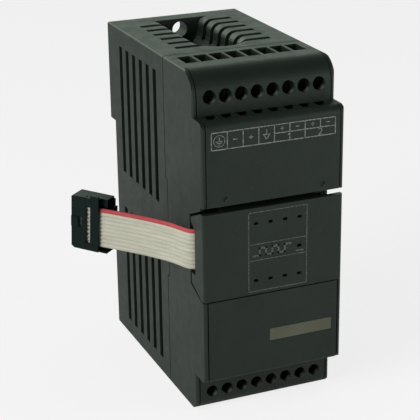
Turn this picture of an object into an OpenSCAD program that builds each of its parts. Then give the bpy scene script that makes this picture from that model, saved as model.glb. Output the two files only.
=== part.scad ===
/* [Housing] */
// Width of the module along the rail
body_w = 38; // [37:0.5:44]
// Depth from the front face to the rear face
body_d = 66.5; // [66:0.5:72]
// Height of the module
body_h = 90; // [89:0.5:92]
// Thickness of the moulded walls
wall = 1.6; // [1.4:0.1:1.8]
// Distance from the front face to the seam between the two shells
seam_y = 24.5; // [24:0.25:25]

/* [Terminals] */
// Number of terminals in the upper row
terminal_count = 8; // [6:1:8]
// Distance between neighbouring terminals
terminal_pitch = 4.17; // [4.1:0.01:4.2]
// Travel of a clamp cage from closed to open
cage_travel = 1.8; // [1:0.1:1.8]

/* [Rail] */
// Height of the recess for a 35 mm rail
rail_gap = 35.8; // [35.6:0.1:36]
// Depth of the rail recess
rail_depth = 3.8; // [3.6:0.1:4]
// Travel of the rail latch
latch_travel = 3.2; // [2.5:0.1:3.2]

/* [Ribbon] */
// Number of conductors in the ribbon
conductor_count = 10; // [6:1:10]
// Distance between neighbouring conductors
conductor_pitch = 1.06; // [1:0.01:1.1]

/* [Hidden] */
$fn = 64;

hw = body_w / 2;
zc = body_h / 2;
eps = 0.05;

// Front shell levels, seen from the side (y from the front face, z from the base)
hood_y = 5.45;
hood_r = 6.2;
base_r = 3.8;
ledge_z = 79.3;
ledge_r = 2.2;
gap_top = 57.9;
panel_top = 56.2;
panel_bottom = 33.2;
cover_bottom = 10.9;
strip_y = 6.15;
bay_y = 8.6;
wing_y = 7.8;
cover_t = 1.6;
corner_r = 0.8;
edge_r = 0.6;
rim_x = hw - 0.9;
rim_gap = 0.25;
groove_depth = 0.5;
seam_gap = 0.3;
tab_z0 = 31.2;
tab_z1 = 58.5;
tab_depth = 1.2;

// Terminal row
screw_z = 83.9;
entry_y = 15.8;
entry_d = 6.2;
lower_row_z = 5.2;
function row_x(i) = (i - (terminal_count - 1) / 2) * terminal_pitch;

// Vent slots, shared by the sides, the top and the bottom
vent_count = 6;
vent_y0 = 30.9;
vent_pitch = 5.08;
vent_w = 2;
side_vent_w = 2.3;
grille_hw = 13.2;
function vent_y(i) = vent_y0 + i * vent_pitch;

// Screwdriver well in the top, and the panel screw behind it
well_r = 5.4;
well_z = 87;
well_flare = 2.5;
well_front = 34.8;
well_rear = body_d - 5.4;
panel_screw_r = 2.15;

// Rear wall and rail recess
seat_y = body_d - rail_depth;
rail_z0 = zc - rail_gap / 2;
rail_z1 = zc + rail_gap / 2;
lip_hw = 13;
rear_y = seam_y + seam_gap;
back_wall_y = seat_y - 1.8;

// Lamps: four above, one beside the band, four below
lamp_x = [-4.9, -0.95, 3, 6.95];
lamp_rows = [36.9, 52.1];
lamps = concat([for (z = lamp_rows, x = lamp_x) [x, z]], [[6.95, 44.4]]);

// Boards
front_board_y = 19.4;
board_t = 1.6;
board_z0 = 10;
board_z1 = 78.4;
link_x = 7;
post_x = 14.4;
post_z = [34.4, 57];
port_x = [12.7, 14.7];
function port_z(k) = zc + 0.5 + (k - 2) * 2;
function link_z(k) = 57.2 + k * 2.54;

// Ribbon route in plan: from its header on the inner board, out of the left wing and back to the plug
ribbon_z = 45.15;
ribbon_t = 0.9;
ribbon_w = conductor_count * conductor_pitch;
route = [[1, 28.5], [-1.5, 28.2], [-4, 27], [-6.2, 25], [-8, 22.4], [-9.2, 19.6], [-10, 16.6],
    [-10.8, 13.6], [-12, 10.8], [-13.8, 8.4], [-16.2, 7], [-18, 6.7], [-19.3, 7.2], [-20.3, 8.7],
    [-21.1, 10.7], [-22.1, 13], [-23.4, 15.3], [-24.9, 17.6], [-26.5, 19.9], [-28.2, 22.2],
    [-30, 24.5], [-31.9, 26.8], [-33.9, 29.2], [-36, 31.6], [-38, 33.9], [-39.4, 35.5]];
plug_at = [-36, 31.6];
plug_turn = 42;
plug_tilt = -3;
plug_low = -6.55;
plug_high = 7.95;

// ---------------------------------------------------------------- helpers

module in_frame() {
    translate([0, -body_d / 2, 0]) children();
}

module box(x0, x1, y0, y1, z0, z1) {
    translate([x0, y0, z0]) cube([x1 - x0, y1 - y0, z1 - z0]);
}

// A side profile drawn as (y, z) points, pushed out along X
module side_plate(points, x0, x1) {
    translate([x0, 0, 0]) rotate([90, 0, 90]) linear_extrude(x1 - x0) polygon(points);
}

module rod_y(x, z, y0, y1, r) {
    translate([x, y0, z]) rotate([-90, 0, 0]) cylinder(h = y1 - y0, r = r);
}

function arc(cy, cz, r, a0, a1, n = 8) =
    [for (k = [0:n]) let (a = a0 + (a1 - a0) * k / n) [cy + r * cos(a), cz + r * sin(a)]];

module rounded_rect(x0, x1, y0, y1, r) {
    translate([x0 + r, y0]) square([x1 - x0 - 2 * r, y1 - y0]);
    translate([x0, y0 + r]) square([x1 - x0, y1 - y0 - 2 * r]);
    for (x = [x0 + r, x1 - r], y = [y0 + r, y1 - r]) translate([x, y]) circle(r);
}

// Plan block with both front corners rounded
module plan_block(y0, z0, z1, y1 = body_d) {
    translate([0, 0, z0]) linear_extrude(z1 - z0) {
        translate([-hw, y0 + corner_r]) square([body_w, y1 - y0 - corner_r]);
        translate([-hw + corner_r, y0]) square([body_w - 2 * corner_r, corner_r + eps]);
        for (x = [-hw + corner_r, hw - corner_r]) translate([x, y0 + corner_r]) circle(corner_r);
    }
}

// The module's outline seen from the front, with its long edges eased
module front_outline(y0, y1) {
    translate([0, y1, 0]) rotate([90, 0, 0]) linear_extrude(y1 - y0)
        rounded_rect(-hw, hw, 0, body_h, edge_r);
}

// ---------------------------------------------------------------- rear shell

module rear_housing() {
    rear_profile = concat([[rear_y, 0], [body_d - edge_r, 0]], arc(body_d - edge_r, edge_r, edge_r, -90, 0),
        [[body_d, rail_z0], [seat_y, rail_z0], [seat_y, rail_z1], [body_d, rail_z1]],
        arc(body_d - edge_r, body_h - edge_r, edge_r, 0, 90), [[rear_y, body_h]]);
    color("#3a3f3c") difference() {
        union() {
            difference() {
                intersection() {
                    side_plate(rear_profile, -hw, hw);
                    front_outline(0, body_d);
                }
                box(-hw + wall, hw - wall, seam_y - 1, back_wall_y, wall, body_h - wall);
                for (s = [-1, 1]) {
                    box(min(s * 7.5, s * (hw - wall)), max(s * 7.5, s * (hw - wall)), back_wall_y - 1,
                        body_d - 1.8, 67, body_h - wall);
                    box(min(s * 10, s * (hw - wall)), max(s * 10, s * (hw - wall)), back_wall_y - 1,
                        body_d - 1.8, wall, rail_z0 - 2);
                }
            }
            well_shell();
            rail_lip();
            seam_tabs();
            board_guides();
        }
        well_space();
        rod_y(0, well_z, well_rear - 1, body_d + 1, panel_screw_r);
        side_vents();
        top_grille();
        bottom_grille();
        latch_pocket();
    }
}

module well_shell() {
    skin = 1.5;
    intersection() {
        union() {
            rod_y(0, well_z, well_front, back_wall_y + eps, well_r + skin);
            translate([0, well_front, well_z]) sphere(well_r + skin);
            box(-well_r - skin, well_r + skin, well_front, back_wall_y + eps, well_z, body_h - wall + eps);
            translate([0, well_front, well_z]) cylinder(h = body_h - wall + eps - well_z, r = well_r + skin);
        }
        box(-hw, hw, rear_y, body_d, 0, body_h - wall / 2);
    }
}

// Half of the well's cross-section: a round floor that flares out to the top
well_half = concat(arc(0, well_z, well_r, -90, 0),
    arc(well_r + well_flare, body_h - well_flare, well_flare, 180, 90, 6),
    [[well_r + well_flare, body_h + 1], [0, body_h + 1]]);

module well_space() {
    for (s = [0, 1]) mirror([s, 0, 0])
        translate([0, well_rear, 0]) rotate([90, 0, 0])
            linear_extrude(well_rear - well_front) polygon(well_half);
    translate([0, well_front, 0]) rotate_extrude() polygon(well_half);
}

// Tab on each side that reaches forward into the front shell's notch
module seam_tabs() {
    for (s = [-1, 1])
        box(s > 0 ? hw - wall : -hw, s > 0 ? hw : -hw + wall, seam_y - tab_depth + 0.25, rear_y + eps,
            tab_z0 + 0.25, tab_z1 - 0.25);
}

// Ribs above and below that hold the inner board upright
module board_guides() {
    for (x = [link_x - 1.1, link_x + board_t + 0.2]) {
        box(x, x + 0.9, 27.5, 59.4, wall - eps, board_z0 + 1.6);
        box(x, x + 0.9, 27.5, 59.4, board_z1 - 1.6, body_h - wall + eps);
    }
}

// Fixed lip that hooks over the rail's upper edge
module rail_lip() {
    box(-lip_hw, lip_hw, seat_y + 1.8, body_d, rail_z1 - 1.5, rail_z1 + eps);
}

module side_vents() {
    for (i = [0:vent_count - 1], s = [-1, 1])
        for (z = [[4.8, 39.4], [49.8, 85.2]])
            box(s * hw - wall - 0.2, s * hw + wall + 0.2, vent_y(i) - side_vent_w / 2,
                vent_y(i) + side_vent_w / 2, z[0], z[1]);
}

module top_grille() {
    for (i = [0:vent_count - 1])
        box(-grille_hw, grille_hw, vent_y(i) - vent_w / 2, vent_y(i) + vent_w / 2,
            body_h - 5.5, body_h + 1);
}

module bottom_grille() {
    for (i = [0:vent_count - 1])
        box(-grille_hw, grille_hw, vent_y(i) - vent_w / 2, vent_y(i) + vent_w / 2, -1, wall + 0.2);
}

module latch_pocket() {
    box(-8.3, 8.3, seat_y + 0.2, body_d - 1.6, rail_z0 - 2.2 - 17.5 - latch_travel - 0.3, rail_z0 - 1.9);
    box(-6.3, 6.3, seat_y + 0.2, body_d + 1, -1, rail_z0 + 1);
}

// ---------------------------------------------------------------- front shell

base_curve = arc(strip_y + base_r, base_r, base_r, 270, 180);
hood_curve = arc(hood_y + hood_r, body_h - hood_r, hood_r, 180, 90, 12);

front_outer = concat([[seam_y, 0]], base_curve,
    [[strip_y, cover_bottom], [1.9, cover_bottom], [1.9, 32.9], [bay_y, 32.9], [bay_y, gap_top]],
    [[0, gap_top]], arc(ledge_r, ledge_z - ledge_r, ledge_r, 180, 90),
    [[hood_y, ledge_z]], hood_curve, [[seam_y, body_h]]);

front_inner = [[seam_y + 1, wall], [strip_y + wall, wall], [strip_y + wall, cover_bottom + wall],
    [3.5, cover_bottom + wall], [3.5, 32.9 - wall], [bay_y + wall, 32.9 - wall],
    [bay_y + wall, gap_top + wall], [wall, gap_top + wall], [wall, ledge_z - wall],
    [hood_y + wall, ledge_z - wall], [hood_y + wall, body_h - 4], [hood_y + wall + 2.4, body_h - wall],
    [seam_y + 1, body_h - wall]];

// Side rims: they run out to the front face beside the lower cover, and make room for the panel's wings
function rim_profile(upper) = concat([[seam_y, 0]], base_curve,
    [[strip_y, cover_bottom]], arc(1.5, cover_bottom + 1.5, 1.5, 270, 180),
    [[0, 32.9], [1.85, 32.9], [bay_y, 35.4]], upper, [[0, gap_top]],
    arc(ledge_r, ledge_z - ledge_r, ledge_r, 180, 90), [[hood_y, ledge_z]], hood_curve, [[seam_y, body_h]]);
left_rim = rim_profile([[bay_y, 53.9], [1.7, 56.9], [1.6, gap_top]]);
right_rim = rim_profile([[bay_y, 54.8], [4, gap_top]]);

module front_housing() {
    color("#2c302e") difference() {
        intersection() {
            union() {
                difference() {
                    side_plate(front_outer, -rim_x + rim_gap, rim_x - rim_gap);
                    side_plate(front_inner, -hw + wall, hw - wall);
                }
                for (s = [-1, 1]) {
                    side_plate(s > 0 ? right_rim : left_rim, s > 0 ? rim_x : -hw, s > 0 ? hw : -rim_x);
                    side_plate(groove_floor, s > 0 ? hw - wall : -rim_x - eps,
                        s > 0 ? rim_x + eps : -hw + wall);
                }
                board_posts();
                seam_tongue();
            }
            union() {
                plan_block(strip_y, 0, cover_bottom);
                plan_block(0, cover_bottom, ledge_z);
                plan_block(hood_y, ledge_z, body_h);
            }
            front_outline(-1, body_d);
        }
        wire_entries();
        for (i = [0:terminal_count - 1]) {
            rod_y(row_x(i), screw_z, hood_y - 1, hood_y + wall + 1, 1.7);
            rod_y(row_x(i), lower_row_z, strip_y - 1, strip_y + wall + 1, 1.55);
            box(row_x(i) - 1.45, row_x(i) + 1.45, 2.7, hood_y - 0.15, ledge_z - wall - 1, ledge_z + 1);
            box(row_x(i) - 1.45, row_x(i) + 1.45, hood_y - 0.5, hood_y + wall + 1,
                ledge_z - wall - 1, ledge_z);
        }
        for (x = [-13.2, 13.2]) rod_y(x, 59.8, -1, 0.35, 0.7);
        for (x = [-12, 12], z = [14.5, 29.5]) rod_y(x, z, 1, 4.5, 1.3);
        box(-8, 10, bay_y - 1, bay_y + wall + 1, 35, 54);
        box(-16.6, -8.6, bay_y - 1, bay_y + wall + 1, 38.6, 52.8);
        box(10.3, 17.1, bay_y - 1, bay_y + wall + 1, 37, 54);
        for (x = [-post_x, post_x], z = post_z) rod_y(x, z, bay_y + wall + 2, front_board_y + 1, 1);
        for (s = [-1, 1])
            box(min(s * hw, s * (hw - wall)) - eps, max(s * hw, s * (hw - wall)) + eps, seam_y - tab_depth,
                seam_y + 1, tab_z0, tab_z1);
    }
}

// Joins each side rim to the shell behind the shadow groove, which stops at the flat top and base
g = groove_depth;
groove_floor = concat([[seam_y, 0], [strip_y + base_r, 0]],
    arc(strip_y + base_r, base_r, base_r - g, 270, 180),
    [[strip_y + g, cover_bottom + g], [1.9 + g, cover_bottom + g], [1.9 + g, 32.9 - g],
    [bay_y + g, 33.4], [bay_y + g, gap_top], [g, gap_top + g]],
    arc(ledge_r, ledge_z - ledge_r, ledge_r - g, 180, 90), [[hood_y + g, ledge_z - g]],
    arc(hood_y + hood_r, body_h - hood_r, hood_r - g, 180, 90, 12),
    [[hood_y + hood_r, body_h], [seam_y, body_h]]);

module board_posts() {
    for (x = [-post_x, post_x], z = post_z) rod_y(x, z, bay_y + wall - eps, front_board_y, 1.9);
}

// Tongue that reaches behind the seam into the rear shell
module seam_tongue() {
    t = 0.9;
    reach = 2.2;
    difference() {
        union() {
            box(-hw + wall - 0.4, hw - wall + 0.4, seam_y - 1.1, seam_y, wall - 0.4, body_h - wall + 0.4);
            box(-hw + wall + 0.15, hw - wall - 0.15, seam_y - 1.1, seam_y + reach, wall + 0.15,
                body_h - wall - 0.15);
        }
        box(-hw + wall + t, hw - wall - t, seam_y - 2, seam_y + reach + 1, wall + t, body_h - wall - t);
    }
}

module wire_entries() {
    for (i = [0:terminal_count - 1]) {
        box(row_x(i) - 1.7, row_x(i) + 1.7, entry_y, entry_y + entry_d, body_h - wall - 1, body_h + 1);
        box(row_x(i) - 1.7, row_x(i) + 1.7, entry_y, entry_y + entry_d, -1, wall + 1);
    }
}

// ---------------------------------------------------------------- covers

module centre_panel() {
    wing = [[0, panel_bottom], [1.7, panel_bottom], [wing_y, 36], [wing_y, 53.5], [1.6, panel_top],
        [0, panel_top]];
    passage = [[5.4, ribbon_z - 6.5], [9, ribbon_z - 6.5], [9, ribbon_z + 7.2], [wing_y, ribbon_z + 7.2],
        [5.4, ribbon_z + 5.6]];
    color("#2f3331") difference() {
        union() {
            intersection() {
                union() {
                    box(-hw, hw, 0, 1.5, panel_bottom, panel_top);
                    for (s = [-1, 1]) side_plate(wing, s > 0 ? hw - 1.3 : -hw, s > 0 ? hw : -hw + 1.3);
                }
                plan_block(0, 0, body_h);
            }
            box(-13, 13, 1.4, 6, panel_top - 1.2, panel_top);
            box(-13, 13, 1.4, 6, panel_bottom, panel_bottom + 1.2);
            for (x = [-11, 11], z = [panel_top - 0.6, panel_bottom + 0.6]) panel_hook(x, z);
        }
        for (p = lamps) box(p[0] - 0.6, p[0] + 0.6, -1, 2, p[1] - 0.35, p[1] + 0.35);
        for (x = [-hw, hw]) side_plate(passage, x - 2, x + 2);
    }
}

module panel_hook(x, z) {
    box(x - 2, x + 2, 5.9, 8.2, z - 0.6, z + 0.6);
}

module lower_cover() {
    z1 = 32.9;
    w = rim_x - rim_gap - 0.05;
    profile = concat([[cover_t, cover_bottom]], arc(1.2, cover_bottom + 1.2, 1.2, 270, 180),
        [[0, z1], [cover_t, z1]]);
    color("#2b2f2d") difference() {
        union() {
            side_plate(profile, -w, w);
            for (x = [-12, 12], z = [14.5, 29.5]) rod_y(x, z, cover_t - eps, 4.6, 1.22);
        }
        box(-1.2, 16.4, -1, 0.25, 19.5, 23);
    }
}

module name_plate() {
    color("#6f6f5c") box(-1.1, 16.3, 0.03, 0.25, 19.6, 22.9);
}

// ---------------------------------------------------------------- rail latch

module din_latch() {
    core_hw = 6;
    top = rail_z0 + 1.5;
    nose = [[seat_y + 2, rail_z0], [seat_y + 2, top], [seat_y + 2.5, top], [body_d - 0.3, rail_z0 - 1.2],
        [body_d - 0.3, 3.6], [seat_y + 0.5, 3.6], [seat_y + 0.5, rail_z0]];
    color("#242726") difference() {
        union() {
            side_plate(nose, -core_hw, core_hw);
            box(-8, 8, seat_y + 0.5, body_d - 1.9, rail_z0 - 2.2 - 17.5, rail_z0 - 2.2);
        }
        box(-2.6, 2.6, seat_y - 1, body_d + 1, 5.2, 6.6);
    }
}

// ---------------------------------------------------------------- terminals

module terminal_base() {
    z0 = 79.7;
    z1 = 88.2;
    rear = 23.2;
    half = (terminal_count - 1) / 2 * terminal_pitch + 2.4;
    color("#1f2321") difference() {
        union() {
            box(-half, half, hood_y + wall + 0.9, rear, z0, z1 - 1.7);
            box(-half, half, hood_y + wall + 2.5, rear, z0, z1);
        }
        for (i = [0:terminal_count - 1]) {
            rod_y(row_x(i), screw_z, hood_y, 12.5, 1.65);
            rod_y(row_x(i), screw_z, 12, 14.5, 1.25);
            box(row_x(i) - 1.7, row_x(i) + 1.7, 13.9, 22.5, z0 + 1, z1 + 1);
            box(row_x(i) - 0.65, row_x(i) + 0.65, 17.8, 19, z0 - 1, z0 + 2);
        }
    }
}

module terminal_screw(i) {
    color("#b9bcbc") difference() {
        union() {
            rod_y(row_x(i), screw_z, 10.7, 12.3, 1.5);
            rod_y(row_x(i), screw_z, 12.2, 17.3, 1.1);
            translate([row_x(i), 17.3, screw_z]) rotate([-90, 0, 0]) cylinder(h = 0.4, r1 = 1.1, r2 = 0.7);
        }
        box(row_x(i) - 1.6, row_x(i) + 1.6, 10, 11.4, screw_z - 0.28, screw_z + 0.28);
        box(row_x(i) - 0.28, row_x(i) + 0.28, 10, 11.4, screw_z - 0.9, screw_z + 0.9);
    }
}

module terminal_cage(i) {
    color("#c9c39a") difference() {
        box(row_x(i) - 1.4, row_x(i) + 1.4, 14.3, 20.3, 81, 87.2);
        box(row_x(i) - 1.1, row_x(i) + 1.1, 15.9, 19.1, 80, 89);
        rod_y(row_x(i), screw_z, 13, 17, 1.25);
    }
}

module terminal_contacts() {
    color("#c8b27a") for (i = [0:terminal_count - 1]) {
        box(row_x(i) - 0.8, row_x(i) + 0.8, 18, 18.8, 81.2, 86.9);
        box(row_x(i) - 0.45, row_x(i) + 0.45, 18, 18.8, 76, 81.3);
        box(row_x(i) - 0.4, row_x(i) + 0.4, 18.7, 22, 76, 76.8);
    }
}

// ---------------------------------------------------------------- boards

module front_board() {
    color("#2d6b45") difference() {
        box(-16.8, 16.8, front_board_y, front_board_y + board_t, 8, 77.4);
        for (i = [0:terminal_count - 1]) rod_y(row_x(i), 76.4, front_board_y - 1, front_board_y + 3, 0.65);
        for (x = [-post_x, post_x], z = post_z) rod_y(x, z, front_board_y - 1, front_board_y + 3, 1.1);
        for (x = port_x, k = [0:4]) rod_y(x, port_z(k), front_board_y - 1, front_board_y + 3, 0.4);
        for (k = [0:7]) rod_y(link_x - 1.3, link_z(k), front_board_y - 1, front_board_y + 3, 0.5);
        box(-13.4, -5.5, front_board_y - 1, front_board_y + 3, 38.6, 52.8);
    }
}

module board_screws() {
    color("#b0b4b4") for (x = [-post_x, post_x], z = post_z) difference() {
        union() {
            rod_y(x, z, front_board_y + board_t, front_board_y + board_t + 1.3, 1.8);
            rod_y(x, z, bay_y + wall + 3, front_board_y + board_t + 0.1, 0.93);
        }
        box(x - 1.4, x + 1.4, front_board_y + board_t + 0.7, front_board_y + 4, z - 0.25, z + 0.25);
        box(x - 0.25, x + 0.25, front_board_y + board_t + 0.7, front_board_y + 4, z - 1.4, z + 1.4);
    }
}

module converter_board() {
    color("#2a6340") box(link_x, link_x + board_t, 22.2, 59.4, board_z0, board_z1);
}

module board_link() {
    color("#1d1f1e")
        box(link_x - 2.6, link_x, front_board_y + board_t, front_board_y + board_t + 2.5, 56, 76);
    color("#c8b27a") for (k = [0:7])
        box(link_x - 1.6, link_x - 1, front_board_y - 1.5, front_board_y + board_t,
            link_z(k) - 0.3, link_z(k) + 0.3);
}

module status_leds() {
    color("#c9d6c0") for (p = lamps)
        box(p[0] - 0.8, p[0] + 0.8, front_board_y - 0.8, front_board_y, p[1] - 0.45, p[1] + 0.45);
}

module light_guide() {
    color("#cfd8d4", 0.6) {
        box(-6.2, 8.2, 14.6, 16.6, 35.7, 53.3);
        for (p = lamps) box(p[0] - 0.7, p[0] + 0.7, 2.2, 14.7, p[1] - 0.45, p[1] + 0.45);
        for (z = [40.5, 48.8]) rod_y(0.9, z, 16.5, front_board_y, 0.9);
    }
}

module port_header() {
    color("#1c1f1e") difference() {
        box(10.6, 16.8, 9, front_board_y, 37.4, 53.6);
        box(11.5, 15.9, 8, 17, 38.3, 52.7);
        box(10, 12, 8, 14, 43.4, 47.6);
        for (x = port_x, k = [0:4]) rod_y(x, port_z(k), 16, 22, 0.3);
    }
}

module port_pins() {
    color("#d3b868") for (x = port_x, k = [0:4])
        rod_y(x, port_z(k), 11, front_board_y + board_t + 1.4, 0.25);
}

module ribbon_header() {
    color("#1c1f1e") box(1, link_x, 25.9, 31.1, ribbon_z - 7.3, ribbon_z + 7.3);
}

module transformer_core() {
    color("#4a4643") difference() {
        box(-3.2, link_x - 0.9, 40, 53.4, 16, 29);
        for (s = [[41.9, 45], [48.4, 51.5]]) box(-4, link_x, s[0], s[1], 18.2, 26.8);
    }
}

module transformer_coil() {
    color("#b8863c") for (y = [42, 48.5]) box(-2.6, link_x - 0.9, y, y + 2.9, 18.3, 26.7);
    color("#222") box(link_x - 0.9, link_x, 40, 53.4, 16, 29);
}

module rod_x(y, z, x0, x1, r) {
    translate([x0, y, z]) rotate([0, 90, 0]) cylinder(h = x1 - x0, r = r);
}

module filter_capacitors() {
    color("#24303c") for (z = [15, 23.5, 32]) {
        rod_x(33, z, -4.2, link_x, 3.15);
    }
}

module optocouplers() {
    color("#e8e8e0") for (z = [38, 45.5, 53]) box(link_x - 3.4, link_x, 47, 53.4, z, z + 4.6);
}

module converter_chips() {
    color("#1a1a1a") for (z = [58, 67.5]) box(link_x - 2.4, link_x, 33, 43.2, z, z + 7.4);
}

module output_amplifiers() {
    color("#1a1a1a") for (z = [59, 68]) box(link_x - 1.6, link_x, 48, 53, z, z + 4);
}

module voltage_regulator() {
    color("#202020") box(link_x + board_t, link_x + board_t + 4.4, 36, 46.2, 20, 29);
    color("#9a9a9a") box(link_x + board_t, link_x + board_t + 1.3, 36, 46.2, 28.9, 35.5);
}

module choke() {
    color("#7a4a22") rod_x(52, 44, link_x + board_t, link_x + board_t + 5.5, 4.2);
}

// ---------------------------------------------------------------- ribbon and plug

function unit(v) = v / norm(v);
function heading(i) = unit(route[min(i + 1, len(route) - 1)] - route[max(i - 1, 0)]);
// Eight corners of the flat section at route point i
function section(i) =
    let (d = heading(i), nx = -d[1], ny = d[0], a = ribbon_t / 2, b = ribbon_w / 2, c = 0.2)
    [for (q = [[-a, -b + c], [-a + c, -b], [a - c, -b], [a, -b + c], [a, b - c], [a - c, b], [-a + c, b],
        [-a, b - c]])
        [route[i][0] + q[0] * nx, route[i][1] + q[0] * ny, ribbon_z + q[1]]];

module ribbon_cable() {
    n = len(route);
    pts = [for (i = [0:n - 1]) each section(i)];
    sides = [for (i = [0:n - 2], k = [0:7])
        [i * 8 + k, (i + 1) * 8 + k, (i + 1) * 8 + (k + 1) % 8, i * 8 + (k + 1) % 8]];
    first = [for (k = [0:7]) k];
    last = [for (k = [7:-1:0]) (n - 1) * 8 + k];
    color("#c9c8bf") polyhedron(points = pts, faces = concat(sides, [first, last]));
}

// Local frame at the plug: X along the ribbon, Y towards the housing side, Z up
module at_plug() {
    translate([plug_at[0], plug_at[1], ribbon_z]) rotate([0, 0, 90 + plug_turn]) mirror([0, 1, 0])
        rotate([0, plug_tilt, 0]) children();
}

// Plug contacts: two rows of five, centred on the plug's height
function plug_row(k) = (plug_low + plug_high) / 2 + (k - 2) * 2;

module plug_body() {
    color("#20262a") at_plug() difference() {
        union() {
            box(-3.2, 6.4, 0.6, 4.1, plug_low + 0.1, plug_high - 0.2);
            box(-2, 5.4, 4, 7.1, plug_low + 1, plug_high - 2.1);
            box(-4.2, -3.1, 0.8, 4.1, plug_low + 0.7, 5.25);
            box(-3.9, -1.7, -1, 4.1, plug_low + 0.1, plug_low + 0.55);
        }
        for (x = [0.7, 2.7], k = [0:4])
            box(x - 0.4, x + 0.4, 1.8, 8, plug_row(k) - 0.4, plug_row(k) + 0.4);
    }
}

module plug_cover() {
    face = [[2.3, plug_low], [5.6, plug_low], [6.45, plug_low + 0.6], [6.45, plug_high - 0.3],
        [6.15, plug_high], [2.3, plug_high]];
    color("#232a2e") at_plug() difference() {
        union() {
            translate([0, -0.55, 0]) rotate([90, 0, 0]) linear_extrude(0.65) polygon(face);
            box(4.35, 6.45, -1.4, -1.1, -0.5, 2.35);
            box(2.6, 6.1, -0.6, 0.5, plug_low, plug_low + 0.35);
            box(2.6, 6.1, -0.6, 0.5, 5.7, plug_high);
        }
        box(3.45, 4.2, -2, 0, -0.5, 2.4);
    }
}

module plug_strain_relief() {
    color("#262d31") at_plug() {
        box(-1.5, 0.9, -1.3, -0.55, plug_low + 0.05, 8.75);
        box(0.85, 2.25, -1.2, -0.55, plug_low, -4.6);
        box(0.85, 2.25, -1.2, -0.55, 5.5, plug_high);
        box(-1.5, 2.25, -0.6, 0.5, plug_low + 0.05, plug_low + 0.45);
        box(-1.5, 2.25, -0.6, 0.5, 5.95, plug_high);
    }
}

module plug_contacts() {
    color("#b59a62") at_plug() for (x = [0.7, 2.7], k = [0:4])
        box(x - 0.3, x + 0.3, 1.9, 6.3, plug_row(k) - 0.4, plug_row(k) - 0.2);
}

// ---------------------------------------------------------------- assembly

in_frame() rear_housing();
in_frame() front_housing();
in_frame() centre_panel();
in_frame() lower_cover();
in_frame() name_plate();
in_frame() din_latch();
in_frame() terminal_base();
in_frame() terminal_contacts();
in_frame() front_board();
in_frame() converter_board();
in_frame() board_screws();
in_frame() board_link();
in_frame() status_leds();
in_frame() light_guide();
in_frame() ribbon_header();
in_frame() port_header();
in_frame() port_pins();
in_frame() ribbon_cable();
in_frame() plug_body();
in_frame() plug_cover();
in_frame() plug_strain_relief();
in_frame() plug_contacts();
in_frame() transformer_core();
in_frame() transformer_coil();
in_frame() filter_capacitors();
in_frame() optocouplers();
in_frame() converter_chips();
in_frame() output_amplifiers();
in_frame() voltage_regulator();
in_frame() choke();
for (i = [1:terminal_count]) {
    in_frame() terminal_screw(i - 1);
    in_frame() terminal_cage(i - 1);
}
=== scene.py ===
"""Looks for the rail-mounted controller module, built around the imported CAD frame.

Lengths below are in millimetres, measured from the front face, and mm() turns them into the row frame in metres.
"""

import math

import bmesh
import bpy
from mathutils import Matrix, Vector


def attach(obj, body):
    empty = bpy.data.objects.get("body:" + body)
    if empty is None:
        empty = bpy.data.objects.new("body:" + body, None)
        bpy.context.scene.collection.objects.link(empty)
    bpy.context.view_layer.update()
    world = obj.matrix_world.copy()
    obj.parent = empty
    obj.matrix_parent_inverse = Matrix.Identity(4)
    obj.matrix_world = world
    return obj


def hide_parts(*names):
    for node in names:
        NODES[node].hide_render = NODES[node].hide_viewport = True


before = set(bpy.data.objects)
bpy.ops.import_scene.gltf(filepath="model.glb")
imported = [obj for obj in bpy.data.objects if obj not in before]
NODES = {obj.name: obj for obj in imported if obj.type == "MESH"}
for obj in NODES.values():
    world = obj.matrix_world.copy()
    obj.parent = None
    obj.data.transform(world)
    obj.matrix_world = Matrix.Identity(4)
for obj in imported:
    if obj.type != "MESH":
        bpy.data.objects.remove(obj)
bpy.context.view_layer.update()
HALF_DEPTH = 33.25


def mm(x, y, z):
    """A point given in millimetres from the front face, in the row frame."""
    return Vector((x, y - HALF_DEPTH, z)) / 1000


# ---------------------------------------------------------------- camera

AZIMUTH, ELEVATION, ROLL = map(math.radians, (-22.99, 20.51, -0.63))
DISTANCE = 0.3764
TARGET = Vector((0, 0, 0.045))
LENS = 120.27
SHIFT_X, SHIFT_Y = -0.0269, -0.0129


def make_camera():
    forward = Vector(
        (
            -math.sin(AZIMUTH) * math.cos(ELEVATION),
            math.cos(AZIMUTH) * math.cos(ELEVATION),
            -math.sin(ELEVATION),
        )
    )
    right = forward.cross(Vector((0, 0, 1))).normalized()
    up = right.cross(forward)
    across = math.cos(ROLL) * right + math.sin(ROLL) * up
    upward = math.cos(ROLL) * up - math.sin(ROLL) * right
    data = bpy.data.cameras.new("camera")
    data.sensor_width = 36
    data.lens = LENS
    data.shift_x = SHIFT_X
    data.shift_y = SHIFT_Y
    data.clip_start = 0.01
    data.clip_end = 50
    camera = bpy.data.objects.new("camera", data)
    turn = Matrix((across, upward, -forward)).transposed().to_4x4()
    camera.matrix_world = Matrix.Translation(TARGET - forward * DISTANCE) @ turn
    bpy.context.scene.collection.objects.link(camera)
    bpy.context.scene.camera = camera


make_camera()


# ---------------------------------------------------------------- mesh helpers


def make_object(name, vertices, faces, smooth=False):
    mesh = bpy.data.meshes.new(name)
    mesh.from_pydata([tuple(v) for v in vertices], [], faces)
    mesh.update()
    if smooth:
        mesh.shade_smooth()
    obj = bpy.data.objects.new(name, mesh)
    bpy.context.scene.collection.objects.link(obj)
    return obj


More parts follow.
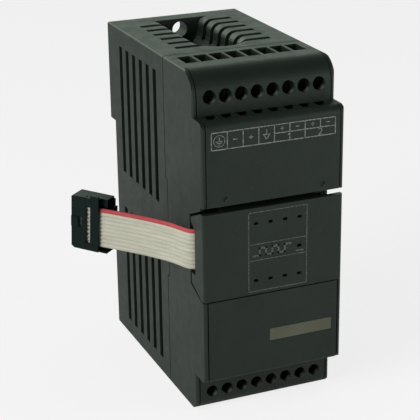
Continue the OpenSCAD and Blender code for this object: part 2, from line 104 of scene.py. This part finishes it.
def spline_points(points, steps):
    """Catmull-Rom points through a plan route."""
    out = []
    for i in range(len(points) - 1):
        p0 = points[max(i - 1, 0)]
        p1, p2 = points[i], points[i + 1]
        p3 = points[min(i + 2, len(points) - 1)]
        for k in range(steps):
            t = k / steps
            out.append(
                0.5
                * (
                    2 * p1
                    + (p2 - p0) * t
                    + (2 * p0 - 5 * p1 + 4 * p2 - p3) * t * t
                    + (3 * p1 - p0 - 3 * p2 + p3) * t**3
                )
            )
    out.append(points[-1])
    return out


# ---------------------------------------------------------------- ribbon cable

RIBBON_Z = 45.15
CONDUCTORS = 10
PITCH = 1.06
WIRE_R = 0.45
WEB_HALF = 0.2
SIDE_STEPS = 8  # points across each conductor's ridge
ROUTE_STEPS = 5  # points between two route points
ROUTE = [
    (1, 28.5), (-1.5, 28.2), (-4, 27), (-6.2, 25), (-8, 22.4), (-9.2, 19.6), (-10, 16.6),
    (-10.8, 13.6), (-12, 10.8), (-13.8, 8.4), (-16.2, 7), (-18, 6.7), (-19.3, 7.2), (-20.3, 8.7),
    (-21.1, 10.7), (-22.1, 13), (-23.4, 15.3), (-24.9, 17.6), (-26.5, 19.9), (-28.2, 22.2),
    (-30, 24.5), (-31.9, 26.8), (-33.9, 29.2), (-36, 31.6), (-38, 33.9), (-39.4, 35.5),
]
PLUG_X = -35.6  # the red conductor isn't seen beyond this


def ribbon_section():
    """Outline of the ribbon as (across, along height) pairs, one rounded ridge per conductor on each side."""
    half = CONDUCTORS * PITCH / 2
    side = []
    for k in range(CONDUCTORS):
        centre = -half + (k + 0.5) * PITCH
        for s in range(SIDE_STEPS):
            h = -PITCH / 2 + PITCH * s / SIDE_STEPS
            side.append((max(WEB_HALF, math.sqrt(max(WIRE_R**2 - h * h, 0))), centre + h))
    side.append((WEB_HALF, half))
    return side + [(-across, height) for across, height in reversed(side)]


def make_ribbon():
    centre = spline_points([Vector((x, y, RIBBON_Z)) for x, y in ROUTE], ROUTE_STEPS)
    section = ribbon_section()
    count = len(section)
    vertices, faces = [], []
    for i, point in enumerate(centre):
        along = (centre[min(i + 1, len(centre) - 1)] - centre[max(i - 1, 0)]).normalized()
        normal = Vector((-along.y, along.x, 0))
        for across, height in section:
            p = point + normal * across
            vertices.append(mm(p.x, p.y, p.z + height))
    for i in range(len(centre) - 1):
        for k in range(count):
            n = (k + 1) % count
            faces.append((i * count + k, (i + 1) * count + k, (i + 1) * count + n, i * count + n))
    faces.append(tuple(range(count)))
    faces.append(tuple(range(len(vertices) - 1, len(vertices) - 1 - count, -1)))
    ribbon = make_object("ribbon_flat", vertices, faces, smooth=True)
    top_edge = (CONDUCTORS / 2 - 1) * PITCH + RIBBON_Z
    for polygon in ribbon.data.polygons:
        marked = polygon.center.z * 1000 > top_edge and polygon.center.x * 1000 > PLUG_X
        polygon.material_index = 1 if marked else 0
    path = [tuple(mm(p.x, p.y, p.z)) for p in centre]
    return ribbon, path


ribbon, ribbon_path = make_ribbon()
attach(ribbon, "module")
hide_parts("ribbon_cable")


# ---------------------------------------------------------------- materials


class Graph:
    """A material's node tree, with short calls for the nodes used here."""

    def __init__(self, name, **values):
        self.material = bpy.data.materials.new(name)
        self.material.use_nodes = True
        self.tree = self.material.node_tree
        self.shader = self.tree.nodes["Principled BSDF"]
        coordinates = self.tree.nodes.new("ShaderNodeTexCoord")
        self.scaled = self.node("ShaderNodeMapping", Vector=coordinates.outputs["Object"], Scale=(1000, 1000, 1000))
        self.place = self.scaled.outputs["Vector"]
        self.set(**values)

    def node(self, kind, settings=None, **sockets):
        made = self.tree.nodes.new(kind)
        for key, value in (settings or {}).items():
            setattr(made, key, value)
        self.fill(made, sockets)
        return made

    def fill(self, made, sockets):
        for key, value in sockets.items():
            socket = made.inputs[key.replace("_", " ")]
            if isinstance(value, bpy.types.NodeSocket):
                self.tree.links.new(value, socket)
            else:
                socket.default_value = value

    def set(self, **sockets):
        self.fill(self.shader, sockets)

    def noise(self, scale, detail=3.0, stretch=None):
        place = self.place
        if stretch:
            place = self.node("ShaderNodeMapping", Vector=place, Scale=stretch).outputs["Vector"]
        return self.node("ShaderNodeTexNoise", Vector=place, Scale=scale, Detail=detail).outputs["Fac"]

    def bands(self, axis, period):
        """0 to 1 and back along one axis, once in period millimetres."""
        wave = self.node(
            "ShaderNodeTexWave",
            {"wave_type": "BANDS", "bands_direction": axis, "wave_profile": "SIN"},
            Vector=self.place,
            Scale=math.pi * 2 / (20 * period),
        )
        return wave.outputs["Fac"]

    def span(self, value, low, high, to_low, to_high):
        made = self.node(
            "ShaderNodeMapRange",
            Value=value,
            From_Min=low,
            From_Max=high,
            To_Min=to_low,
            To_Max=to_high,
        )
        return made.outputs["Result"]

    def mix(self, factor, first, second):
        made = self.node("ShaderNodeMix", {"data_type": "RGBA"})
        for socket, value in ((made.inputs[0], factor), (made.inputs[6], first), (made.inputs[7], second)):
            if isinstance(value, bpy.types.NodeSocket):
                self.tree.links.new(value, socket)
            else:
                socket.default_value = (*value, 1) if isinstance(value, tuple) else value
        return made.outputs[2]

    def maths(self, kind, first, second=0.0):
        made = self.node("ShaderNodeMath", {"operation": kind})
        for socket, value in zip(made.inputs, (first, second)):
            if isinstance(value, bpy.types.NodeSocket):
                self.tree.links.new(value, socket)
            else:
                socket.default_value = value
        return made.outputs[0]

    def long_edges(self):
        """1 where a side turns towards the top, 0 on the flats and the upright corners: where the painted highlight
        goes.
        """
        place = self.tree.nodes.new("ShaderNodeTexCoord")
        normal = self.node("ShaderNodeSeparateXYZ", Vector=place.outputs["Normal"]).outputs
        lean = self.maths("ABSOLUTE", normal["X"])
        turned = self.maths("MULTIPLY", self.span(lean, 0.12, 0.45, 0, 1), self.span(lean, 0.75, 0.98, 1, 0))
        return self.maths("MULTIPLY", turned, self.span(normal["Z"], 0.05, 0.35, 0, 1))

    def bump(self, height, strength, distance, edge=0.0):
        made = self.node("ShaderNodeBump", Height=height, Strength=strength, Distance=distance / 1000)
        if edge:
            rounded = self.node("ShaderNodeBevel", {"samples": 4}, Radius=edge / 1000)
            self.tree.links.new(rounded.outputs["Normal"], made.inputs["Normal"])
        self.set(Normal=made.outputs["Normal"])


def moulded(name, low, high, roughness, grain=0.02, edge=0.08, dust=0.0, highlight_and_wear=None, tint=(1, 1, 1), ior=1.5):
    """Moulded plastic: spark-eroded grain, faint flow marks, a little dust, and a paler colour painted on the long
    upper edges as a highlight.
    """
    g = Graph(name, IOR=ior, Specular_Tint=(*tint, 1))
    flow = g.noise(0.09, 4)
    colour = g.mix(g.span(flow, 0.35, 0.65, 0, 1), low, high)
    # Painted highlight: the long edges that turn towards the top get a paler colour, as if their rounding caught the
    # light.
    if highlight_and_wear:
        colour = g.mix(g.long_edges(), colour, highlight_and_wear)
    if dust:
        specks = g.span(g.noise(1.7, 1), 0.75, 0.79, 0, dust)
        colour = g.mix(specks, colour, (0.16, 0.17, 0.16))
    g.set(Base_Color=colour)
    g.set(Roughness=g.span(g.noise(0.35, 5), 0.3, 0.7, roughness - 0.05, roughness + 0.05))
    g.bump(g.noise(4.5, 2), 0.5, grain, edge)
    return g.material


def metal(name, low, high, roughness, stretch, metallic=1.0):
    """Plated or drawn metal with fine lines along one direction."""
    g = Graph(name, Metallic=metallic)
    lines = g.noise(1.6, 4, stretch)
    g.set(Base_Color=g.mix(g.span(lines, 0.3, 0.7, 0, 1), low, high))
    g.set(Roughness=g.span(g.noise(0.9, 4), 0.3, 0.7, roughness - 0.06, roughness + 0.08))
    g.bump(lines, 0.25, 0.01, 0.08)
    return g.material


def board(name):
    """Green laminate: solder mask over copper tracks."""
    g = Graph(name, IOR=1.5, Roughness=0.32)
    tracks = g.node(
        "ShaderNodeTexBrick",
        {"offset": 0.37, "squash": 0.7},
        Vector=g.node("ShaderNodeMapping", Vector=g.place, Rotation=(math.pi / 2, 0, 0)).outputs["Vector"],
        Scale=0.42,
        Mortar_Size=0.09,
        Mortar_Smooth=0.1,
    ).outputs["Fac"]
    g.set(Base_Color=g.mix(tracks, (0.012, 0.075, 0.032), (0.03, 0.16, 0.055)))
    g.bump(tracks, 0.3, 0.03)
    return g.material


def banded(name, axis, period, low, high, roughness, metallic=0.0, height=0.05):
    """Laminations or windings: fine lines across one axis."""
    g = Graph(name, Metallic=metallic)
    lines = g.bands(axis, period)
    g.set(Base_Color=g.mix(lines, low, high))
    g.set(Roughness=g.span(g.noise(0.7, 3), 0.3, 0.7, roughness - 0.05, roughness + 0.07))
    g.bump(lines, 0.6, height, 0.1)
    return g.material


def vinyl(name, low, high):
    """Ribbon insulation: satin vinyl with faint handling marks along its length."""
    g = Graph(name, IOR=1.5)
    marks = g.noise(0.5, 4, (0.25, 0.25, 2.5))
    g.set(Base_Color=g.mix(g.span(marks, 0.3, 0.7, 0, 1), low, high))
    g.set(Roughness=g.span(g.noise(0.8, 3), 0.3, 0.7, 0.42, 0.56))
    g.bump(g.noise(2.4, 3), 0.25, 0.02)
    return g.material


def printed(name, low, high):
    """Screen-printed ink, thin and slightly broken."""
    g = Graph(name, IOR=1.45)
    highlight_and_wear = g.noise(2.2, 4)
    g.set(Base_Color=g.mix(g.span(highlight_and_wear, 0.4, 0.62, 0, 1), low, high))
    g.set(Roughness=g.span(highlight_and_wear, 0.3, 0.7, 0.5, 0.7))
    g.bump(highlight_and_wear, 0.3, 0.01)
    return g.material


def clear_plastic(name):
    g = Graph(name, IOR=1.49, Transmission_Weight=0.7)
    g.set(Base_Color=g.mix(g.noise(0.2, 2), (0.45, 0.48, 0.46), (0.6, 0.62, 0.6)))
    g.set(Roughness=g.span(g.noise(0.8, 3), 0.3, 0.7, 0.12, 0.22))
    g.bump(g.noise(1.5, 2), 0.2, 0.01, 0.12)
    return g.material


GREEN = (0.86, 1.0, 0.89)
COLD = (0.6, 1.0, 0.95)
DUST = 0.25
# Paler colour painted on the upper long edges of the housing and covers: a painted highlight where the rounded edges
# catch the light.
EDGE_HIGHLIGHT = (0.100, 0.112, 0.096)
SHELL = moulded(
    "shell_moulded", (0.0112, 0.0168, 0.0129), (0.0140, 0.0205, 0.0158), 0.44, dust=DUST, highlight_and_wear=EDGE_HIGHLIGHT, tint=GREEN
)
COVER = moulded(
    "cover_moulded", (0.0115, 0.0170, 0.0132), (0.0142, 0.0207, 0.0160), 0.46, dust=DUST, highlight_and_wear=EDGE_HIGHLIGHT, tint=GREEN
)
BLACK = moulded(
    "black_moulded", (0.0030, 0.0062, 0.0052), (0.0044, 0.0086, 0.0072), 0.36, grain=0.01, tint=COLD, ior=1.32
)
PLATE = moulded("plate_film", (0.096, 0.101, 0.065), (0.119, 0.124, 0.082), 0.5, grain=0.01, edge=0.05)
SCREW = metal("screw_plating", (0.42, 0.42, 0.40), (0.60, 0.59, 0.56), 0.32, (1, 0.2, 1))
CAGE = metal("cage_plating", (0.40, 0.37, 0.27), (0.56, 0.52, 0.38), 0.34, (0.2, 1, 1))
CONTACT = metal("contact_plating", (0.50, 0.36, 0.14), (0.66, 0.50, 0.24), 0.28, (1, 1, 0.2))
BOARD = board("solder_mask")
CLEAR = clear_plastic("light_guide_acrylic")
LAMP = moulded("lamp_resin", (0.30, 0.05, 0.03), (0.42, 0.09, 0.05), 0.25, edge=0.05)
CORE = banded("core_laminations", "X", 0.5, (0.05, 0.045, 0.04), (0.13, 0.12, 0.11), 0.42, 0.8)
COIL = banded("coil_turns", "Z", 0.32, (0.16, 0.05, 0.012), (0.45, 0.17, 0.045), 0.3, 0.6)
SLEEVE = banded("capacitor_sleeve", "Z", 6.3, (0.012, 0.016, 0.030), (0.022, 0.028, 0.050), 0.28, 0.0, 0.01)
PALE = moulded("pale_resin", (0.52, 0.51, 0.46), (0.62, 0.61, 0.56), 0.5)
CHIP = moulded("chip_resin", (0.012, 0.012, 0.012), (0.02, 0.02, 0.02), 0.55, grain=0.03)
GREY_VINYL = vinyl("ribbon_grey", (0.405, 0.398, 0.325), (0.50, 0.485, 0.40))
RED_VINYL = vinyl("ribbon_red", (0.36, 0.045, 0.055), (0.46, 0.075, 0.085))
INK = printed("pale_ink", (0.15, 0.16, 0.14), (0.38, 0.40, 0.36))
DIM_INK = printed("grey_ink", (0.055, 0.060, 0.055), (0.16, 0.17, 0.155))

LOOKS = {
    "rear_housing": SHELL,
    "front_housing": SHELL,
    "centre_panel": COVER,
    "lower_cover": COVER,
    "name_plate": PLATE,
    "board_screws": SCREW,
    "terminal_contacts": CONTACT,
    "port_pins": CONTACT,
    "plug_contacts": CONTACT,
    "front_board": BOARD,
    "converter_board": BOARD,
    "light_guide": CLEAR,
    "status_leds": LAMP,
    "transformer_core": CORE,
    "transformer_coil": COIL,
    "choke": COIL,
    "filter_capacitors": SLEEVE,
    "optocouplers": PALE,
    "converter_chips": CHIP,
    "output_amplifiers": CHIP,
    "voltage_regulator": CHIP,
}
for i in range(1, 9):
    LOOKS[f"terminal_screw_{i}"] = SCREW
    LOOKS[f"terminal_cage_{i}"] = CAGE
for name, node in NODES.items():
    node.data.materials.clear()
    node.data.materials.append(LOOKS.get(name, BLACK))
ribbon.data.materials.append(GREY_VINYL)
ribbon.data.materials.append(RED_VINYL)


# ---------------------------------------------------------------- printing

INK_HEIGHT = 0.02


def stroke(x0, z0, x1, z1, width):
    """Four corners of a straight printed line in the front plane, in millimetres."""
    a, b = Vector((x0, z0)), Vector((x1, z1))
    along = (b - a).normalized() * width / 2
    side = Vector((-along.y, along.x))
    return [a - along - side, b + along - side, b + along + side, a - along + side]


def frame_strokes(x0, z0, x1, z1, width):
    return [
        stroke(x0, z0, x1, z0, width),
        stroke(x1, z0, x1, z1, width),
        stroke(x1, z1, x0, z1, width),
        stroke(x0, z1, x0, z0, width),
    ]


def ring_strokes(x, z, r, width, steps=16):
    points = [(x + r * math.cos(k * math.tau / steps), z + r * math.sin(k * math.tau / steps)) for k in range(steps)]
    return [stroke(*points[k], *points[(k + 1) % steps], width) for k in range(steps)]


def plus(x, z, size, width):
    return [stroke(x - size, z, x + size, z, width), stroke(x, z - size, x, z + size, width)]


def minus(x, z, size, width):
    return [stroke(x - size, z, x + size, z, width)]


def print_on(name, strokes, body, ink, y=0.0):
    vertices, faces = [], []
    for corners in strokes:
        base = len(vertices)
        vertices += [mm(c.x, y - INK_HEIGHT, c.y) for c in corners]
        vertices += [mm(c.x, y + 0.01, c.y) for c in corners]
        faces.append(tuple(base + k for k in (0, 1, 2, 3)))
        faces.append(tuple(base + k for k in (7, 6, 5, 4)))
        for k in range(4):
            n = (k + 1) % 4
            faces.append((base + k, base + 4 + k, base + 4 + n, base + n))
    obj = make_object(name, vertices, faces)
    mesh = bmesh.new()
    mesh.from_mesh(obj.data)
    bmesh.ops.recalc_face_normals(mesh, faces=mesh.faces)
    mesh.to_mesh(obj.data)
    mesh.free()
    obj.data.materials.append(ink)
    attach(obj, body)
    return obj


LINE = 0.22
CELL = 4.12
LABEL_LEFT, LABEL_LOW, LABEL_MID, LABEL_HIGH = -16.5, 72.4, 74.55, 76.7


def earth_symbol(x, z):
    bars = [stroke(x - w, z - 0.1 - k * 0.42, x + w, z - 0.1 - k * 0.42, 0.18) for k, w in enumerate((0.8, 0.5, 0.2))]
    return bars + [stroke(x, z - 0.1, x, z + 0.8, 0.18)] + ring_strokes(x, z, 1.45, 0.17)


def signal_ground_symbol(x, z):
    return [
        stroke(x - 0.9, z + 0.1, x + 0.9, z + 0.1, 0.22),
        stroke(x - 0.9, z + 0.1, x, z - 1.1, 0.22),
        stroke(x + 0.9, z + 0.1, x, z - 1.1, 0.22),
        stroke(x, z + 0.1, x, z + 1.2, 0.22),
    ]


def label_strokes():
    right = LABEL_LEFT + 8 * CELL
    middle = (LABEL_LOW + LABEL_HIGH) / 2
    upper = (LABEL_MID + LABEL_HIGH) / 2
    lower = (LABEL_MID + LABEL_LOW) / 2

    def at(k):
        return LABEL_LEFT + k * CELL

    out = frame_strokes(LABEL_LEFT, LABEL_LOW, right, LABEL_HIGH, LINE)
    out += [stroke(at(k), LABEL_LOW, at(k), LABEL_HIGH, LINE) for k in (1, 2, 3, 4, 6)]
    out += [stroke(at(k), LABEL_MID, at(k), LABEL_HIGH, LINE) for k in (5, 7)]
    out.append(stroke(at(4), LABEL_MID, right, LABEL_MID, LINE))
    out += earth_symbol(at(0.5), middle)
    out += minus(at(1.5), middle, 0.42, 0.24)
    out += plus(at(2.5), middle, 0.45, 0.22)
    out += signal_ground_symbol(at(3.5), middle)
    out += plus(at(4.5), upper, 0.38, 0.2) + minus(at(5.5), upper, 0.38, 0.2)
    out += plus(at(6.5), upper, 0.38, 0.2) + minus(at(7.5), upper, 0.38, 0.2)
    x, z = at(5), lower
    out += [stroke(x, z - 0.7, x, z + 0.7, 0.22), stroke(x - 0.35, z + 0.4, x, z + 0.7, 0.2)]
    x = at(7)
    out += [
        stroke(x - 0.4, z + 0.7, x + 0.4, z + 0.7, 0.2),
        stroke(x + 0.4, z + 0.7, x + 0.4, z + 0.05, 0.2),
        stroke(x + 0.4, z + 0.05, x - 0.4, z - 0.7, 0.2),
        stroke(x - 0.4, z - 0.7, x + 0.4, z - 0.7, 0.2),
    ]
    return out


def lamp_strokes():
    left, right, low, high = -6.9, 9.0, 34.05, 55.0
    out = frame_strokes(left, low, right, high, LINE)
    out += [stroke(left, z, right, z, LINE) for z in (46.6, 42.3)]
    x, z, step, tall = -5.6, 44.45, 1.7, 0.95
    for k in range(6):
        side = tall if k % 2 else -tall
        out.append(stroke(x + k * step, z + side, x + (k + 1) * step, z + side, 0.5))
        if k < 5:
            out.append(stroke(x + (k + 1) * step, z - tall, x + (k + 1) * step, z + tall, 0.5))
    out.append(stroke(6.1, 43.1, 8, 43.1, 0.3))
    return out


print_on("terminal_label_print", label_strokes(), "module", INK)
print_on("lamp_frame_print", lamp_strokes(), "front_panel", DIM_INK)


# ---------------------------------------------------------------- stage and light

BACKDROP = 0.871
WORLD_LIGHT = 0.86
WORLD_HUE = (0.86, 1, 0.88, 1)
FLOOR_HALF = 4.0
FLOOR_GAP = 0.0003
FLOOR_GLOW = 1.06
FLOOR_GLOW_SHARE = 0.75


def make_world():
    world = bpy.data.worlds.new("studio")
    world.use_nodes = True
    bpy.context.scene.world = world
    tree = world.node_tree
    background = tree.nodes["Background"]
    place = tree.nodes.new("ShaderNodeTexCoord")
    split = tree.nodes.new("ShaderNodeSeparateXYZ")
    tree.links.new(place.outputs["Generated"], split.inputs[0])

    def span(value, low, high, to_low, to_high):
        made = tree.nodes.new("ShaderNodeMapRange")
        made.interpolation_type = "SMOOTHSTEP"
        tree.links.new(value, made.inputs["Value"])
        for key, number in (("From Min", low), ("From Max", high), ("To Min", to_low), ("To Max", to_high)):
            made.inputs[key].default_value = number
        return made.outputs["Result"]

    def maths(kind, a, b):
        made = tree.nodes.new("ShaderNodeMath")
        made.operation = kind
        for socket, value in zip(made.inputs, (a, b)):
            if isinstance(value, bpy.types.NodeSocket):
                tree.links.new(value, socket)
            else:
                socket.default_value = value
        return made.outputs[0]

    low_band = span(split.outputs["Z"], 0.38, 0.8, 1, 0.12)
    rearward = span(split.outputs["Y"], -0.7, 0.5, 0.12, 1)
    light = maths("MULTIPLY", maths("MULTIPLY", low_band, rearward), WORLD_LIGHT)
    seen = tree.nodes.new("ShaderNodeLightPath").outputs["Is Camera Ray"]
    shown = maths("ADD", maths("MULTIPLY", light, maths("SUBTRACT", 1.0, seen)), maths("MULTIPLY", seen, BACKDROP))
    tree.links.new(shown, background.inputs["Strength"])
    hue = tree.nodes.new("ShaderNodeMix")
    hue.data_type = "RGBA"
    tree.links.new(seen, hue.inputs[0])
    hue.inputs[6].default_value = WORLD_HUE
    hue.inputs[7].default_value = (1, 1, 1, 1)
    tree.links.new(hue.outputs[2], background.inputs["Color"])


def make_floor():
    half = FLOOR_HALF
    corners = [(-half, -half), (half, -half), (half, half), (-half, half)]
    floor = make_object("floor", [(x, y, -FLOOR_GAP) for x, y in corners], [(0, 1, 2, 3)])
    material = bpy.data.materials.new("floor_paper")
    material.use_nodes = True
    tree = material.node_tree
    tree.nodes.remove(tree.nodes["Principled BSDF"])
    paper = tree.nodes.new("ShaderNodeBsdfDiffuse")
    paper.inputs["Color"].default_value = (0.75, 0.71, 0.745, 1)
    glow = tree.nodes.new("ShaderNodeEmission")
    glow.inputs["Strength"].default_value = FLOOR_GLOW
    seen = tree.nodes.new("ShaderNodeLightPath")
    share = tree.nodes.new("ShaderNodeMath")
    share.operation = "MULTIPLY"
    share.inputs[1].default_value = FLOOR_GLOW_SHARE
    mix = tree.nodes.new("ShaderNodeMixShader")
    tree.links.new(seen.outputs["Is Camera Ray"], share.inputs[0])
    tree.links.new(share.outputs[0], mix.inputs["Fac"])
    tree.links.new(paper.outputs[0], mix.inputs[1])
    tree.links.new(glow.outputs[0], mix.inputs[2])
    tree.links.new(mix.outputs[0], tree.nodes["Material Output"].inputs["Surface"])
    floor.data.materials.append(material)


def make_light(name, place, aim, size, power, glossy=False):
    data = bpy.data.lights.new(name, "AREA")
    data.shape = "DISK"
    data.size = size
    data.energy = power
    light = bpy.data.objects.new(name, data)
    light.location = place
    light.rotation_euler = (Vector(aim) - Vector(place)).to_track_quat("-Z", "Y").to_euler()
    light.visible_glossy = glossy
    bpy.context.scene.collection.objects.link(light)


make_world()
make_floor()
make_light("key_light", (-1.1, -0.35, 0.5), (0, 0, 0.04), 0.8, 14.0)
make_light("fill_light", (0.9, -1.0, 0.35), (0, 0, 0.04), 0.8, 1.5, True)
make_light("side_light", (0.24, -0.18, 0.11), (0, -0.03, 0.03), 0.12, 0.18, True)
bpy.context.scene.view_settings.view_transform = "Standard"
